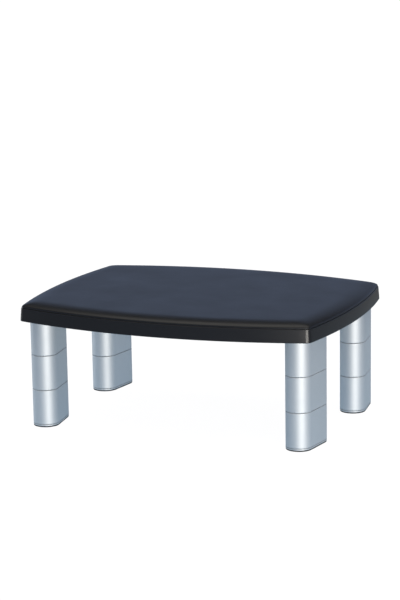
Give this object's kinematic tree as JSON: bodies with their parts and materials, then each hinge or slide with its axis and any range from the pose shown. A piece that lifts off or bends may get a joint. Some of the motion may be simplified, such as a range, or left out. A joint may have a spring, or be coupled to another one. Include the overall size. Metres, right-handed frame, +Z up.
{
  "type": "adjustable monitor stand",
  "caption": "Height-adjustable desk riser: a bowed black platform on silver legs built from stackable snap-together column blocks with rubber-padded foot caps.",
  "frame": {"origin": "on the desk surface under the middle of the platform", "axes": "+X to the right along the platform's long side, +Y to the back edge, +Z up through the platform"},
  "size_m": [0.381, 0.3048, 0.1492],
  "materials": {
    "platform_black": "fine moulded grain with a satin sheen",
    "frame_black": "fine moulded grain, slightly duller than the panel",
    "leg_silver": "silver-grey satin plastic with a metallic fleck",
    "pad_rubber": "matt black rubber",
    "screw_zinc": "zinc-plated steel"
  },
  "bodies": {
    "platform": {"platform_panel": "platform_black", "platform_frame": "frame_black", "panel_screw_1": "screw_zinc", "panel_screw_2": "screw_zinc", "panel_screw_3": "screw_zinc", "panel_screw_4": "screw_zinc", "panel_screw_5": "screw_zinc", "panel_screw_6": "screw_zinc", "panel_screw_7": "screw_zinc", "panel_screw_8": "screw_zinc"},
    "front_left_upper_block": {"front_left_upper_block": "leg_silver"},
    "front_left_middle_block": {"front_left_middle_block": "leg_silver"},
    "front_left_lower_block": {"front_left_lower_block": "leg_silver"},
    "front_left_foot": {"front_left_foot_cap": "leg_silver", "front_left_foot_pad": "pad_rubber"},
    "front_right_upper_block": {"front_right_upper_block": "leg_silver"},
    "front_right_middle_block": {"front_right_middle_block": "leg_silver"},
    "front_right_lower_block": {"front_right_lower_block": "leg_silver"},
    "front_right_foot": {"front_right_foot_cap": "leg_silver", "front_right_foot_pad": "pad_rubber"},
    "back_left_upper_block": {"back_left_upper_block": "leg_silver"},
    "back_left_middle_block": {"back_left_middle_block": "leg_silver"},
    "back_left_lower_block": {"back_left_lower_block": "leg_silver"},
    "back_left_foot": {"back_left_foot_cap": "leg_silver", "back_left_foot_pad": "pad_rubber"},
    "back_right_upper_block": {"back_right_upper_block": "leg_silver"},
    "back_right_middle_block": {"back_right_middle_block": "leg_silver"},
    "back_right_lower_block": {"back_right_lower_block": "leg_silver"},
    "back_right_foot": {"back_right_foot_cap": "leg_silver", "back_right_foot_pad": "pad_rubber"}
  },
  "joints": [
    {"name": "front_left_upper_block_pull_off", "type": "slide", "parent": "platform", "child": "front_left_upper_block", "axis": [0, 0, -1], "range_m": [0, 0.03]},
    {"name": "front_left_middle_block_pull_off", "type": "slide", "parent": "front_left_upper_block", "child": "front_left_middle_block", "axis": [0, 0, -1], "range_m": [0, 0.03]},
    {"name": "front_left_lower_block_pull_off", "type": "slide", "parent": "front_left_middle_block", "child": "front_left_lower_block", "axis": [0, 0, -1], "range_m": [0, 0.03]},
    {"name": "front_left_foot_pull_off", "type": "slide", "parent": "front_left_lower_block", "child": "front_left_foot", "axis": [0, 0, -1], "range_m": [0, 0.03]},
    {"name": "front_right_upper_block_pull_off", "type": "slide", "parent": "platform", "child": "front_right_upper_block", "axis": [0, 0, -1], "range_m": [0, 0.03]},
    {"name": "front_right_middle_block_pull_off", "type": "slide", "parent": "front_right_upper_block", "child": "front_right_middle_block", "axis": [0, 0, -1], "range_m": [0, 0.03]},
    {"name": "front_right_lower_block_pull_off", "type": "slide", "parent": "front_right_middle_block", "child": "front_right_lower_block", "axis": [0, 0, -1], "range_m": [0, 0.03]},
    {"name": "front_right_foot_pull_off", "type": "slide", "parent": "front_right_lower_block", "child": "front_right_foot", "axis": [0, 0, -1], "range_m": [0, 0.03]},
    {"name": "back_left_upper_block_pull_off", "type": "slide", "parent": "platform", "child": "back_left_upper_block", "axis": [0, 0, -1], "range_m": [0, 0.03]},
    {"name": "back_left_middle_block_pull_off", "type": "slide", "parent": "back_left_upper_block", "child": "back_left_middle_block", "axis": [0, 0, -1], "range_m": [0, 0.03]},
    {"name": "back_left_lower_block_pull_off", "type": "slide", "parent": "back_left_middle_block", "child": "back_left_lower_block", "axis": [0, 0, -1], "range_m": [0, 0.03]},
    {"name": "back_left_foot_pull_off", "type": "slide", "parent": "back_left_lower_block", "child": "back_left_foot", "axis": [0, 0, -1], "range_m": [0, 0.03]},
    {"name": "back_right_upper_block_pull_off", "type": "slide", "parent": "platform", "child": "back_right_upper_block", "axis": [0, 0, -1], "range_m": [0, 0.03]},
    {"name": "back_right_middle_block_pull_off", "type": "slide", "parent": "back_right_upper_block", "child": "back_right_middle_block", "axis": [0, 0, -1], "range_m": [0, 0.03]},
    {"name": "back_right_lower_block_pull_off", "type": "slide", "parent": "back_right_middle_block", "child": "back_right_lower_block", "axis": [0, 0, -1], "range_m": [0, 0.03]},
    {"name": "back_right_foot_pull_off", "type": "slide", "parent": "back_right_lower_block", "child": "back_right_foot", "axis": [0, 0, -1], "range_m": [0, 0.03]}
  ]
}
